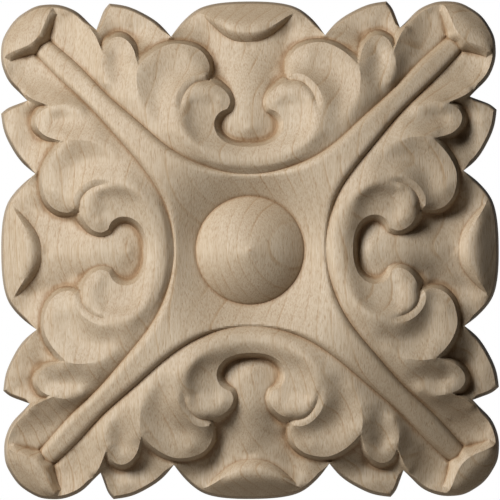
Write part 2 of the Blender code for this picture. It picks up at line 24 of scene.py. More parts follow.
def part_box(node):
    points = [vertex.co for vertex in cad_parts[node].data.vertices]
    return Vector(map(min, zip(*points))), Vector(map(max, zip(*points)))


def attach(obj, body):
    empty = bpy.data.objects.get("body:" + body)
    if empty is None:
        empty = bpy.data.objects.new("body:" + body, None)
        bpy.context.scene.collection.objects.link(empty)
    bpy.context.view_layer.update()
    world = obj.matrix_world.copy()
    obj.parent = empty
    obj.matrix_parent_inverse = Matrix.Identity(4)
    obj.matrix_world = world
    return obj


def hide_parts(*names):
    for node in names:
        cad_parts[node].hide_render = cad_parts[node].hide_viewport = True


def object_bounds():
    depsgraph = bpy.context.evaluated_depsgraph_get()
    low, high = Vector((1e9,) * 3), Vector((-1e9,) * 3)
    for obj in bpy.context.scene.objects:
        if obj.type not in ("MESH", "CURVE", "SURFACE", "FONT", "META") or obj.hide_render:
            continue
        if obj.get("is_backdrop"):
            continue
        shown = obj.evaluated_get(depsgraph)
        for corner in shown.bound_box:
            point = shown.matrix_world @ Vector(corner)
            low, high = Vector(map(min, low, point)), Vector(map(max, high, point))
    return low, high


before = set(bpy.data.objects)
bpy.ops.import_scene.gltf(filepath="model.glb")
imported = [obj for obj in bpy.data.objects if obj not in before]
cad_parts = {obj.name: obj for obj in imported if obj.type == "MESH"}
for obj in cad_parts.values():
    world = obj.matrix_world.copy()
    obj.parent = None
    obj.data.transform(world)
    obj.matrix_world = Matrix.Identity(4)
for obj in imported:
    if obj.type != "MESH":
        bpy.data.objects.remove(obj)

bl_info = {
    "name": "Carved Rosette",
    "version": (1, 0, 0),
    "blender": (4, 5, 0),
    "location": "View3D > Sidebar > Rosette",
    "description": "A carved maple rosette with its studio",
    "category": "Add Mesh",
}

NODE_NAME = "carved_rosette"
PIECE_NAME = "carved_rosette_wood"
MILLIMETRE = 0.001
LOW_CORNER, HIGH_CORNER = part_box(NODE_NAME)
HALF_SIDE = round(HIGH_CORNER.x / MILLIMETRE, 2)
THICKNESS = round(-LOW_CORNER.y / MILLIMETRE, 2)

BUTTON_RADIUS = 11.1
BUTTON_FOOT = 16.4
BUTTON_SLOPE = 0.28
BUTTON_BULGE = 0.66

CREST_RADIUS = 24.0
CREST_HEIGHT = 20.55
ARM_SLOPE = 0.58
ARM_BEND = 16.0
ARM_CROWN = 0.8
ARM_CROWN_WIDTH = 1.7
CROWN_START = 4.0

# The narrow cut along the groove, how far the walls ease out at both ends, how steeply the lips
# rise, and the rounded edge: its radius, the slope it starts at and the draft of the side.
NICK_DEPTH = 0.45
NICK_WIDTH = 0.8
WALL_EASE = 0.3
LIP_ROLL = 1.6
EDGE_ROUND = 0.8
EDGE_START = math.radians(40)
EDGE_DRAFT = 0.5
EDGE_STEPS = 5

# Spacing of the places that fill the surfaces: rows of even triangles, clear of every line by a
# share of the spacing, and the margin without places along the edge of the back.
ROW_STEP = math.sqrt(3) / 2
SIDE_CLEAR = 0.6
LINE_CLEAR = 0.5
BACK_MARGIN = 6.0
BUTTON_SIDES = 4
PLATE_GIVE = 0.001

# How near counts as on a line, the digits by which places are told apart, and a least divisor.
NEAR = 1e-6
PROBE_STEP = 1e-3
PLACE_DIGITS = 6
CORNER_DIGITS = 4
TINY = 1e-12

# The groove between the hub with its arms and the leaves; its height follows the arm.
GROOVE = [(0, 15.55), (4.1, 15.9), (8.2, 16.95), (12.4, 18.75), (16.5, 21.4), (22.8, 26.7),
          (29.05, 32.25), (34.6, 38.05), (40.4, 43.4)]
ARM_END = [(40.4, 43.4), (42.3, 42.3)]

# Top edge of the leaf, from the middle line round the scroll, the two lobes and the corner lobe.
SCROLL_POCKET = [(0, 21.0, 18.45), (3.2, 21.4, 18.45), (5.6, 22.6, 18.35), (6.9, 24.6, 17.9),
                 (6.9, 26.6, 17.5), (5.9, 28.1, 17.3), (4.4, 28.8, 17.1)]
SCROLL_NOSE = [(4.4, 28.8, 17.1), (3.8, 30.2, 17.0), (4.2, 31.7, 16.9), (5.4, 33.1, 16.7),
               (6.8, 33.9, 16.75), (8.2, 34.2, 16.65)]
SCROLL_NOTCH = [(8.2, 34.2, 16.65), (8.6, 34.8, 15.85), (8.4, 35.4, 15.85)]
BROAD_LOBE = [(8.4, 35.4, 15.85), (8.0, 37.0, 14.65), (8.3, 38.8, 14.05), (9.3, 40.4, 13.95),
              (11.0, 41.6, 13.9), (13.2, 42.2, 14.05), (15.4, 42.3, 14.15), (17.6, 41.6, 14.45),
              (19.6, 40.4, 15.0), (21.2, 39.0, 15.55), (22.5, 37.6, 16.3)]
SMALL_LOBE = [(22.5, 37.6, 16.3), (22.9, 39.4, 15.0), (23.7, 41.7, 13.85), (25.1, 43.2, 12.7),
              (26.9, 43.7, 12.05), (28.4, 43.0, 12.05), (29.3, 41.6, 12.75), (29.7, 40.4, 13.45)]
CORNER_SIDE = [(29.7, 40.4, 13.45), (30.4, 42.2, 12.25), (31.2, 44.0, 11.15), (32.3, 45.7, 9.9)]

# Foot of the leaf on the ground, below the same edges.
POCKET_FOOT = [(0, 22.17, 15.55), (2.75, 22.47, 15.55), (4.56, 23.41, 15.45), (5.54, 25.31, 15.4),
               (4.66, 27.25, 15.55), (3.38, 28.19, 15.8)]
NOSE_FOOT = [(3.38, 28.19, 15.8), (2.81, 29.86, 15.65), (2.99, 31.37, 15.3), (3.72, 32.94, 14.5),
             (5.0, 34.37, 13.35), (7.24, 36.02, 13.25)]
BROAD_FOOT = [(7.24, 36.02, 13.25), (6.98, 37.22, 11.85), (7.21, 39.0, 11.0), (8.23, 40.73, 10.5),
              (9.8, 42.08, 10.5), (11.84, 42.92, 10.95), (14.22, 43.2, 11.3), (16.55, 43.0, 11.75),
              (18.73, 42.24, 11.75), (20.46, 41.11, 12.15), (22.32, 39.86, 13.6)]
SMALL_FOOT = [(22.32, 39.86, 13.6), (22.57, 41.64, 11.6), (23.34, 43.19, 9.45),
              (24.69, 44.42, 9.0), (26.7, 44.99, 8.55), (28.34, 44.45, 8.8), (29.6, 43.4, 9.95),
              (29.95, 42.0, 11.3)]
CORNER_FOOT = [(29.95, 42.0, 11.3), (30.25, 43.7, 10.4), (31.1, 45.4, 9.3)]

# Ridges and hollows of the leaf between the groove and its edge.
HEEL = [(0, 17.1, 19.15), (4.3, 17.4, 19.45), (8.8, 18.5, 19.75), (13.0, 20.7, 19.9),
        (16.8, 24.0, 19.45)]
BAND = [(0, 18.8, 19.35), (4.2, 19.1, 19.6), (8.0, 20.1, 20.05), (10.9, 22.0, 20.35),
        (12.8, 24.6, 20.25), (13.5, 27.0, 19.75), (13.4, 29.3, 19.0)]
BRINK = [(8.8, 35.8, 16.2), (10.1, 35.95, 16.45), (11.8, 35.4, 16.85), (13.4, 34.1, 17.5),
         (14.6, 32.2, 18.3), (14.9, 30.2, 18.95), (14.6, 28.4, 19.4)]
SLIT = [(8.6, 34.8, 15.85), (9.4, 34.65, 16.2), (10.5, 34.45, 16.6), (11.65, 33.8, 17.0),
        (12.75, 32.6, 17.6), (13.5, 31.0, 18.2), (14.0, 28.6, 19.3)]
SCROLL_RIM = [(9.3, 34.1, 17.0), (10.4, 34.0, 17.15), (11.4, 33.4, 17.55), (12.3, 32.2, 18.0),
              (12.9, 30.8, 18.6)]
SCROLL_HOLLOW = [(6.0, 30.6, 17.55), (8.0, 29.6, 17.35), (9.3, 27.4, 17.8), (9.6, 24.8, 18.45),
                 (7.6, 22.6, 18.9), (4.0, 20.6, 19.1)]
SCROLL_RISE = [(11.5, 29.6, 18.1), (11.9, 27.2, 18.8), (11.7, 25.0, 19.4), (10.3, 23.0, 19.6)]
BROAD_SIDE = [(9.5, 37.3, 15.35), (11.6, 37.5, 15.5), (13.7, 36.6, 15.6), (15.4, 35.1, 16.15),
              (16.4, 33.0, 17.1), (16.7, 30.8, 18.1), (16.4, 28.6, 18.9)]
BROAD_HOLLOW = [(12.6, 40.0, 14.95), (15.2, 38.8, 15.0), (17.4, 36.8, 15.4), (18.5, 34.2, 16.15),
                (18.8, 31.6, 17.1), (18.6, 29.2, 18.0), (17.6, 27.0, 18.85)]
BROAD_RIM = [(22.5, 37.6, 16.3), (22.8, 36.0, 16.85), (22.8, 34.2, 17.2), (22.5, 32.0, 17.65),
             (21.8, 30.0, 17.9), (20.6, 28.2, 18.3)]
SMALL_SIDE = [(24.0, 38.2, 15.3), (24.2, 36.2, 15.9), (24.2, 34.0, 16.65), (23.9, 31.8, 17.2)]
SMALL_HOLLOW = [(26.4, 41.6, 12.95), (26.8, 39.2, 13.3), (26.9, 36.6, 14.35), (26.6, 34.0, 15.35),
                (25.9, 31.6, 16.15)]
CORNER_RIM = [(29.7, 40.4, 13.45), (30.1, 38.4, 13.85), (29.9, 36.4, 14.2), (29.3, 34.4, 14.65)]
CORNER_HOLLOW = [(33.6, 45.2, 8.98), (33.6, 42.0, 9.88), (33.3, 39.4, 10.68), (32.1, 37.2, 11.98)]
CORNER_SCOOP = [(37.4, 48.0, 7.0), (37.6, 45.6, 6.95), (37.0, 43.2, 7.6), (35.6, 41.2, 8.7)]

LEAF_RIDGES = [BAND, BRINK, SLIT, BROAD_RIM, CORNER_RIM]
LEAF_HOLLOWS = [HEEL, SCROLL_RIM, SCROLL_HOLLOW, SCROLL_RISE, BROAD_SIDE, BROAD_HOLLOW,
                SMALL_SIDE, SMALL_HOLLOW, CORNER_HOLLOW, CORNER_SCOOP]

# Crisp arrises of the leaf, and a cut where the height is less than nothing: each with its height,
# the width of its flanks and the share of its length over which it fades out; all of them rise
# from nothing within a small share of their length at the start.
CREST_START = 0.08
LEAF_CRESTS = [(SLIT, -0.45, 1.0, 0.6), (BRINK, 0.2, 1.2, 0.5), (BROAD_RIM, 0.6, 3.0, 0.9),
               (CORNER_RIM, 0.5, 3.0, 0.9), (CORNER_SIDE, 0.4, 2.0, 0.3), (HEEL, 0.15, 1.3, 0.6)]

# Creases where the lip of each side and the tip of each corner curl up from the carving.
LIP_CREASE = [(0, 42.65, 11.7), (2.2, 42.8, 11.35), (4.2, 43.55, 10.9), (6.2, 45.0, 10.4),
              (8.2, 46.9, 9.9), (10.3, 49.3, 9.4)]
LIP_CREST = [(0, 44.65, 13.0), (2.2, 44.8, 12.9), (4.8, 45.75, 12.2), (7.2, 47.25, 11.2),
             (9.4, 48.5, 9.45)]
LIP_BROW = [(0, 45.6, 12.85), (2.4, 45.75, 12.75), (5.0, 46.6, 12.0)]
LIP_FACE = [(0, 47.9, 11.15), (2.6, 47.95, 11.05), (5.4, 48.5, 10.3)]
TIP_CREASE = [(40.4, 43.4, 6.6), (40.3, 44.5, 6.35), (39.9, 46.1, 6.45), (39.35, 47.9, 6.75),
              (38.6, 49.3, 7.05), (37.9, 50.3, 7.2)]
TIP_CREST = [(39.5, 50.8, 7.0), (40.4, 49.5, 7.7), (41.2, 47.9, 8.3), (41.85, 46.2, 8.75),
             (42.5, 44.8, 9.0), (43.5, 43.5, 9.2)]
TIP_FACE = [(45.0, 45.0, 8.34), (43.6, 46.3, 8.29), (42.4, 48.0, 7.99)]
TIP_BROW = [(46.2, 46.2, 6.97), (44.7, 47.7, 6.93), (43.0, 48.8, 7.2)]

# Hollows of the ground.
MIDDLE_GROUND = [(0, 25.0, 16.5), (0, 29.0, 16.1), (0, 33.0, 15.15), (0, 36.5, 13.55),
                 (0, 39.5, 12.35), (0, 41.6, 11.5)]
SIDE_GROUND = [(3.4, 35.6, 13.35), (4.6, 38.6, 11.7), (5.8, 41.4, 10.8), (7.8, 44.0, 9.8),
               (10.4, 46.2, 9.6)]
POINTED_GROUND = [(19.0, 44.8, 10.45), (22.0, 46.0, 9.25), (25.0, 47.3, 8.95), (27.6, 48.2, 8.3)]

# Silhouette with the height of its shoulder, in stretches that end at a notch or a tip, and the
# share of the edge rounding that each stretch takes at its two ends.
SIDE_LIP = [(0, 51.0, 8.65), (4.1, 50.88, 8.7), (7.2, 50.5, 8.75), (10.3, 49.5, 9.15),
            (12.4, 48.0, 9.25), (14.3, 46.05, 10.0), (15.9, 43.9, 12.05)]
POINTED_LEAF = [(15.9, 43.9, 12.05), (18.1, 46.45, 10.05), (21.6, 48.8, 9.1), (25.0, 50.25, 8.3),
                (28.4, 50.8, 7.65)]
POINTED_BACK = [(28.4, 50.8, 7.65), (29.4, 49.6, 7.8), (30.2, 47.8, 8.45), (31.1, 45.4, 9.3)]
CORNER_LOBE = [(31.1, 45.4, 9.3), (32.75, 47.0, 8.8), (34.8, 48.95, 7.65), (37.0, 50.1, 7.4),
               (39.1, 50.65, 6.95), (41.2, 50.7, 6.8), (43.3, 50.4, 6.25), (45.5, 49.35, 5.75),
               (47.7, 47.7, 5.55)]
NOTCH_SHARE = 0.15
NOTCH_RUN = 1 / 6
OUTLINE = [(SIDE_LIP, 1, NOTCH_SHARE), (POINTED_LEAF, NOTCH_SHARE, 1),
           (POINTED_BACK, 1, NOTCH_SHARE), (CORNER_LOBE, NOTCH_SHARE, 1)]

# Growth rings: what the lines lean, sway and ripple by, and where the first one starts.
RING_LEAN = 0.067
RING_SWAY = 0.0016
RING_RIPPLE = 0.0003
RING_START = 0.792
FIBRE_RELIEF = 0.00005
# Radius of the painted shade of the small pilot dimple at the button's centre, in metres.
PILOT_PIT_SHADE = 0.0006

# Clouds of the wood's figure: width across the grain and length along it, in metres.
SWAY_CLOUD = (0.022, 0.070)
RIPPLE_CLOUD = (0.005, 0.016)
BREAK_CLOUD = (0.005, 0.012)
FIBRE_CLOUD = (0.0002, 0.003)
RAY_CLOUD = (0.00026, 0.0014)
TONE_CLOUD = (0.006, 0.014)

# Where each mark of the wood begins and ends, as shares of a year's growth or of a cloud's height.
LINE_RISE = (0.80, 0.95)
LINE_FALL = (1.0, 0.96)
LATE_RISE = (0.1, 0.9)
BREAK_RISE = (0.40, 0.66)
RAY_RISE = (0.58, 0.70)
FIBRE_RISE = (0.35, 0.75)
TONE_RISE = (0.3, 0.7)
# Painted shade in the creases: from none at the first hollowness to full at the second.
CREASE_SHADE_RISE = (0.25, 1.8)

# How strong the marks are in the colour and in the relief.
LATE_SHARE = 0.35
FAINT_LINE = 0.1
RAY_SHARE = 0.6
TONE_SHARE = 0.35
ROUGH_FIBRE = 0.1
FIBRE_HEIGHT = 0.6
RAY_HEIGHT = -0.5
LINE_HEIGHT = -0.3

# Wandering of the cuts, in millimetres, and its waves: radians to a millimetre, then a phase.
WANDER = 0.12
WANDER_FADE = 8.0
ACROSS_WAVES = ((0.17, 0.6), (0.12, 1.1), (0.33, -0.21, 2.0))
UP_WAVES = ((0.15, -0.9), (0.14, 0.3), (0.29, 0.24, 0.5))

# How hollow a place is: its depth below the middle of its neighbours at two breadths.
# The hollowness sets how much painted shade each crease gets.
NARROW_ROUNDS = 10
NARROW_DEPTH = 0.3
HOLLOW_ROUNDS = 40
HOLLOW_DEPTH = 1.0
HOLLOW_WEIGHT = 0.5

# Finish of the mesh; the weld and the slivers are in metres.
SHARP_ANGLE = 24
WELD = 0.000001
SLIVER = 0.0000001

# Studio: turn and lean of the main light in degrees, and lengths in metres.
KEY_TURN = 138
KEY_LEAN = 47
KEY_DISTANCE = 1.2
DISC_SIZE = 0.55
BACK_LIGHT_PLACE = (-0.6, 1.0, 0.5)
BACKDROP_RISE = (0.5, 0.98)
FLOOR_RADIUS = 1.6
FLOOR_SIDES = 96
FLOOR_ROUGHNESS = 0.8
FARTHEST = 100
WHITE = (1, 1, 1)

# Sockets of the node that mixes two colours.
MIX_FACTOR = 0
MIX_FIRST = 6
MIX_SECOND = 7
MIX_RESULT = 2


def mirror_axis(places):
    """The same places on the other side of the upright middle line."""
    turned = np.array(places, float)
    turned[:, 0] *= -1
    return turned


def mirror_diagonal(places):
    """The same places on the other side of the diagonal."""
    turned = np.array(places, float)
    turned[:, [0, 1]] = turned[:, [1, 0]]
    return turned


def flow(places, gap):
    """Smooth line through the places, with points about a gap apart.

    A line that starts on the middle line or ends on the diagonal runs on into its mirror image,
    so that it crosses them squarely.
    """
    knots = np.array(places, float)
    first = 0
    last = len(knots) - 1
    if len(knots) > 2 and abs(knots[0, 0]) < NEAR:
        knots = np.vstack([mirror_axis(knots[:0:-1]), knots])
        first = last
        last = 2 * last
    if len(places) > 2 and abs(knots[-1, 0] - knots[-1, 1]) < NEAR:
        knots = np.vstack([knots, mirror_diagonal(knots[:-1][::-1])])
    steps = np.linalg.norm(np.diff(knots[:, :2], axis=0), axis=1)
    along = np.concatenate([[0], np.cumsum(steps)])
    count = len(knots)
    system = np.eye(count)
    bends = np.zeros_like(knots)
    for i in range(1, count - 1):
        system[i, i - 1:i + 2] = steps[i - 1], 2 * (steps[i - 1] + steps[i]), steps[i]
        after = (knots[i + 1] - knots[i]) / steps[i]
        before = (knots[i] - knots[i - 1]) / steps[i - 1]
        bends[i] = 6 * (after - before)
    bends = np.linalg.solve(system, bends)
    line = []
    for i in range(first, last):
        pieces = max(1, round(steps[i] / gap))
        for k in range(pieces):
            t = k / pieces
            s = 1 - t
            bow = ((s ** 3 - s) * bends[i] + (t ** 3 - t) * bends[i + 1]) * steps[i] ** 2 / 6
            line.append(s * knots[i] + t * knots[i + 1] + bow)
    line.append(knots[last])
    return np.array(line)


class Skin:
    """Smooth surface, a thin plate, through heights at scattered places."""

    def __init__(self, places):
        places = np.unique(np.round(np.array(places), PLACE_DIGITS), axis=0)
        self.spots = places[:, :2]
        count = len(places)
        system = np.zeros((count + 3, count + 3))
        system[:count, :count] = self.pull(self.spots) + PLATE_GIVE * np.eye(count)
        system[:count, count:] = self.plane(self.spots)
        system[count:, :count] = self.plane(self.spots).T
        self.weights = np.linalg.solve(system, np.concatenate([places[:, 2], np.zeros(3)]))

    def pull(self, spots):
        square = ((spots[:, None, :] - self.spots[None, :, :]) ** 2).sum(axis=2)
        return 0.5 * square * np.log(square + TINY)

    def plane(self, spots):
        return np.hstack([np.ones((len(spots), 1)), spots])

    def heights(self, spots):
        return np.hstack([self.pull(spots), self.plane(spots)]) @ self.weights


def reach(spots, line):
    """Distance from each spot to a line, and the height of the line at its nearest point."""
    start = line[:-1, :2]
    run = np.diff(line[:, :2], axis=0)
    offset = spots[:, None, :] - start[None, :, :]
    share = np.clip((offset * run).sum(axis=2) / ((run ** 2).sum(axis=1) + TINY), 0, 1)
    gaps = np.linalg.norm(offset - share[:, :, None] * run, axis=2)
    nearest = gaps.argmin(axis=1)
    row = np.arange(len(spots))
    share = share[row, nearest]
    if line.shape[1] == 2:
        return gaps[row, nearest], None
    low = line[nearest, 2]
    high = line[nearest + 1, 2]
    return gaps[row, nearest], low + share * (high - low)


def inside(spots, ring):
    """True for each spot that lies within a closed ring."""
    found = np.zeros(len(spots), bool)
    u = spots[:, 0]
    v = spots[:, 1]
    for a, b in zip(ring, np.roll(ring, -1, axis=0)):
        if a[1] == b[1]:
            continue
        crosses = (a[1] > v) != (b[1] > v)
        found ^= crosses & (u < a[0] + (v - a[1]) * (b[0] - a[0]) / (b[1] - a[1]))
    return found


def star_heights(spots, groove):
    """Heights of the button, the dished hub and the crowned arms."""
    radius = np.hypot(spots[:, 0], spots[:, 1])
    bulge = BUTTON_BULGE * (radius / BUTTON_RADIUS) ** 2 / 3
    button = THICKNESS - radius * (BUTTON_SLOPE + bulge)
    rise = (radius - BUTTON_RADIUS) / (CREST_RADIUS - BUTTON_RADIUS)
    dish = BUTTON_FOOT + (CREST_HEIGHT - BUTTON_FOOT) * np.sin(np.clip(rise, 0, 1) * math.pi / 2)
    fall = np.hypot(np.maximum(radius - CREST_RADIUS, 0), ARM_BEND) - ARM_BEND
    away, _ = reach(spots, groove)
    crown = np.clip((radius - groove[0, 1]) / CROWN_START, 0, 1) * ARM_CROWN
    nick = NICK_DEPTH * np.clip(1 - away / NICK_WIDTH, 0, 1) ** 2
    arm = dish - ARM_SLOPE * fall - crown * np.clip(1 - away / ARM_CROWN_WIDTH, 0, 1) ** 2 - nick
    return np.where(radius < BUTTON_RADIUS - NEAR, button, arm)


def joined(*lines):
    """Lines that follow one another, as one."""
    rows = [line[:-1] for line in lines[:-1]] + [lines[-1]]
    return np.vstack(rows)


def silhouette(gap):
    """Outline of the eighth, and the share of the edge rounding at each of its points."""
    stretches = []
    shares = []
    for places, start, end in OUTLINE:
        line = flow(places, gap)
        t = np.linspace(0, 1, len(line))
        ease = np.minimum(1, start + t / NOTCH_RUN) * np.minimum(1, end + (1 - t) / NOTCH_RUN)
        stretches.append(line)
        shares.append(ease)
    line = joined(*stretches)
    share = np.concatenate([part[:-1] for part in shares[:-1]] + [shares[-1]])
    return line, share


def inward(line):
    """Mitred directions into the wood at the points of the silhouette."""
    ahead = np.vstack([mirror_axis(line[1:2]), line, mirror_diagonal(line[-2:-1])])[:, :2]
    run = np.diff(ahead, axis=0)
    run /= np.linalg.norm(run, axis=1)[:, None]
    normal = np.stack([run[:, 1], -run[:, 0]], axis=1)
    mitre = normal[:-1] + normal[1:]
    return mitre / (mitre * normal[1:]).sum(axis=1)[:, None]


def edge_ring(line, share, angle):
    """Silhouette at one step of the rounded edge, which is upright once the angle is right."""
    inset = share * (EDGE_DRAFT + EDGE_ROUND * (1 - math.sin(angle)))
    ring = line.copy()
    ring[:, :2] += inward(line) * inset[:, None]
    ring[:, 2] -= share * EDGE_ROUND * (math.cos(EDGE_START) - math.cos(angle))
    ring[0, 0] = 0
    ring[-1, :2] = ring[-1, :2].mean()
    number = np.arange(len(line))
    tip = np.linalg.norm(line[:, :2] - POINTED_LEAF[-1][:2], axis=1).argmin()
    offset = ring[:, :2] - ring[tip, :2]
    past = (number < tip) & (offset @ (line[tip] - line[tip - 1])[:2] > 0)
    past |= (number > tip) & (offset @ (line[tip + 1] - line[tip])[:2] < 0)
    ring[past] = ring[tip]
    return ring


def pinned(line, shoulder):
    """The line cut off where it reaches the shoulder, and the point of the shoulder it ends on."""
    beyond = ~inside(line, np.vstack([np.zeros((1, 3)), shoulder]))
    beyond[0] = False
    beyond[-1] = True
    end = line[beyond.argmax()]
    nearest = np.linalg.norm(shoulder[:, :2] - end[:2], axis=1).argmin()
    kept = line[:beyond.argmax()]
    away, _ = reach(kept[:, :2], shoulder)
    step = np.linalg.norm(np.diff(shoulder[:2, :2], axis=0))
    return np.vstack([kept[away > SIDE_CLEAR * step], shoulder[nearest]]), nearest


def wall_heights(spots, edge, foot):
    """Heights of the cut between the leaf's edge and its foot, easing out at both."""
    to_edge, top = reach(spots, edge)
    to_foot, base = reach(spots, foot)
    share = to_edge / (to_edge + to_foot + TINY)
    eased = share ** 2 * (3 - 2 * share)
    return top + (base - top) * (share + WALL_EASE * (eased - share))


def crest_heights(spots, crests):
    """What the crisp arrises add to the surface, most along their lines."""
    added = np.zeros(len(spots))
    for line, width in crests:
        away, tall = reach(spots, line)
        added += tall * np.clip(1 - away / width, 0, 1) ** 2
    return added


def rolled_heights(spots, crease, crest):
    """Heights of a lip that rises steeply from its crease and rolls over towards its crest."""
    to_crease, low = reach(spots, crease)
    to_crest, high = reach(spots, crest)
    share = to_crest / (to_crease + to_crest + TINY)
    return high + (low - high) * share ** LIP_ROLL


class Drawing:
    """Every line of the eighth, and the surfaces between them."""

    def __init__(self, gap):
        def drawn(*parts):
            return [flow(part, gap) for part in parts]

        outline, share = silhouette(gap)
        angles = np.linspace(EDGE_START, math.pi / 2, EDGE_STEPS + 1)
        self.outline = outline
        self.rings = [edge_ring(outline, share, angle) for angle in angles]
        shoulder = self.rings[0]

        groove, arm_end = drawn(GROOVE, ARM_END)
        groove = np.column_stack([groove, star_heights(groove, groove)])
        arm_end = np.column_stack([arm_end, star_heights(arm_end, groove)])
        arm_end[0] = groove[-1]
        tip_crease, tip_at = pinned(flow(TIP_CREASE, gap), shoulder)
        tip_crease[0] = groove[-1]
        lip_crease, lip_at = pinned(flow(LIP_CREASE, gap), shoulder)
        edges = drawn(SCROLL_POCKET, SCROLL_NOSE, SCROLL_NOTCH, BROAD_LOBE, SMALL_LOBE)
        side, leaf_at = pinned(flow(CORNER_SIDE, gap), shoulder)
        edge = joined(*edges, side)
        feet = drawn(POCKET_FOOT, NOSE_FOOT, BROAD_FOOT, SMALL_FOOT)
        side, foot_at = pinned(flow(CORNER_FOOT, gap), shoulder)
        foot = joined(*feet, side)

        leaf_lines = drawn(*LEAF_RIDGES, *LEAF_HOLLOWS)
        leaf_crests = []
        for places, tall, width, fade in LEAF_CRESTS:
            line = flow(places, gap)
            left = np.linspace(1, 0, len(line))
            line[:, 2] = tall * np.minimum(np.minimum(1, left / fade), (1 - left) / CREST_START)
            leaf_crests.append((line, width))
        ground_lines = drawn(MIDDLE_GROUND, SIDE_GROUND, POINTED_GROUND)
        lip_crest, lip_brow, lip_face = drawn(LIP_CREST, LIP_BROW, LIP_FACE)
        lip_crest[-1] = lip_crease[-1]
        tip_crest, brow_at = pinned(flow(TIP_CREST, gap)[::-1], shoulder)
        tip_lines = drawn(TIP_FACE, TIP_BROW)

        sides = max(BUTTON_SIDES, round(BUTTON_RADIUS * math.pi / 4 / gap))
        turns = np.linspace(0, math.pi / 4, sides + 1)
        button = np.column_stack([BUTTON_RADIUS * np.sin(turns), BUTTON_RADIUS * np.cos(turns),
                                  np.full(len(turns), BUTTON_FOOT)])
        button[-1, 0] = button[-1, 1]

        self.lines = [groove, arm_end, button, lip_crease, lip_crest, tip_crease, tip_crest,
                      shoulder, edge, foot] + leaf_lines[:len(LEAF_RIDGES)]

        centre = np.zeros((1, 3))
        self.surfaces = [
            (np.vstack([centre, groove, arm_end[1:]]),
             lambda spots: star_heights(spots, groove)),
            (np.vstack([edge, shoulder[foot_at:leaf_at][::-1], foot[::-1]]),
             lambda spots: wall_heights(spots, edge, foot)),
            self.skin([groove[::-1], edge, shoulder[leaf_at:tip_at], tip_crease[::-1]],
                      leaf_lines, mirror_axis, leaf_crests),
            self.skin([foot, shoulder[lip_at:foot_at][::-1], lip_crease[::-1]],
                      ground_lines, mirror_axis),
            (np.vstack([lip_crease, lip_crest[::-1]]),
             lambda spots: rolled_heights(spots, lip_crease, lip_crest)),
            self.skin([lip_crest, shoulder[:lip_at][::-1]], [lip_brow, lip_face], mirror_axis),
            (np.vstack([tip_crease, shoulder[tip_at + 1:brow_at], tip_crest[::-1],
                        arm_end[::-1]]),
             lambda spots: rolled_heights(spots, np.vstack([arm_end[::-1], tip_crease[1:]]),
                                          tip_crest)),
            self.skin([tip_crest, shoulder[brow_at + 1:]], tip_lines, mirror_diagonal)]

    @staticmethod
    def skin(ring_parts, inner_lines, mirror, crests=()):
        """A surface through its ring and the lines inside it, smooth but for its crests."""
        ring = np.vstack(ring_parts)
        data = np.vstack([ring] + inner_lines)
        data[:, 2] -= crest_heights(data[:, :2], crests)
        plate = Skin(np.vstack([data, mirror(data)]))
        return ring, lambda spots: plate.heights(spots) + crest_heights(spots, crests)


def scattered(drawing, fill):
    """Evenly spaced places between the lines, each at the height of its surface."""
    rows = int(HALF_SIDE / (fill * ROW_STEP)) + 2
    spots = []
    for j in range(rows):
        for i in range(rows):
            u = (i + 0.5 * (j % 2)) * fill
            v = j * fill * ROW_STEP
            if abs(u - v) < SIDE_CLEAR * fill:
                u = v = (u + v) / 2
            elif u < SIDE_CLEAR * fill:
                u = 0.0
            if u <= v:
                spots.append((u, v))
    spots = np.unique(np.round(np.array(spots), PLACE_DIGITS), axis=0)
    for line in drawing.lines:
        away, _ = reach(spots, line)
        spots = spots[away > LINE_CLEAR * fill]
    probe = spots + [0, PROBE_STEP]
    probe[spots[:, 0] == 0, 0] += PROBE_STEP
    placed = []
    for ring, heights in drawing.surfaces:
        here = inside(probe, ring)
        placed.append(np.column_stack([spots[here], heights(spots[here])]))
        spots = spots[~here]
        probe = probe[~here]
    return np.vstack(placed)


def triangulated(places, lines, ring):
    """Triangles inside a ring that keep every line as edges."""
    index = {}
    corners = []
    edges = []

    def number(place):
        key = (round(place[0], CORNER_DIGITS), round(place[1], CORNER_DIGITS))
        if key not in index:
            index[key] = len(corners)
            corners.append(tuple(place))
        return index[key]

    for line in lines:
        row = [number(place) for place in line]
        edges += [(a, b) for a, b in zip(row, row[1:]) if a != b]
    for place in places:
        number(place)
    flat = [Vector((u, v)) for u, v, _ in corners]
    made = delaunay_2d_cdt(flat, edges, [], 0, NEAR, True)
    vertices = []
    for spot, sources in zip(made[0], made[3]):
        if not sources:
            raise ValueError(f"two lines cross at {spot}")
        vertices.append(corners[sources[0]])
    middles = np.array([np.mean([vertices[i] for i in face], axis=0) for face in made[2]])
    kept = inside(middles, ring)
    return vertices, [face for face, keep in zip(made[2], kept) if keep]


def border(places, lines):
    """The two straight sides of the eighth, through every place that lies on them."""
    every = np.vstack([places] + lines + [[[0, 0, THICKNESS]]])
    upright = every[np.abs(every[:, 0]) < NEAR]
    slanted = every[np.abs(every[:, 0] - every[:, 1]) < NEAR]
    return [upright[upright[:, 1].argsort()], slanted[slanted[:, 1].argsort()]]


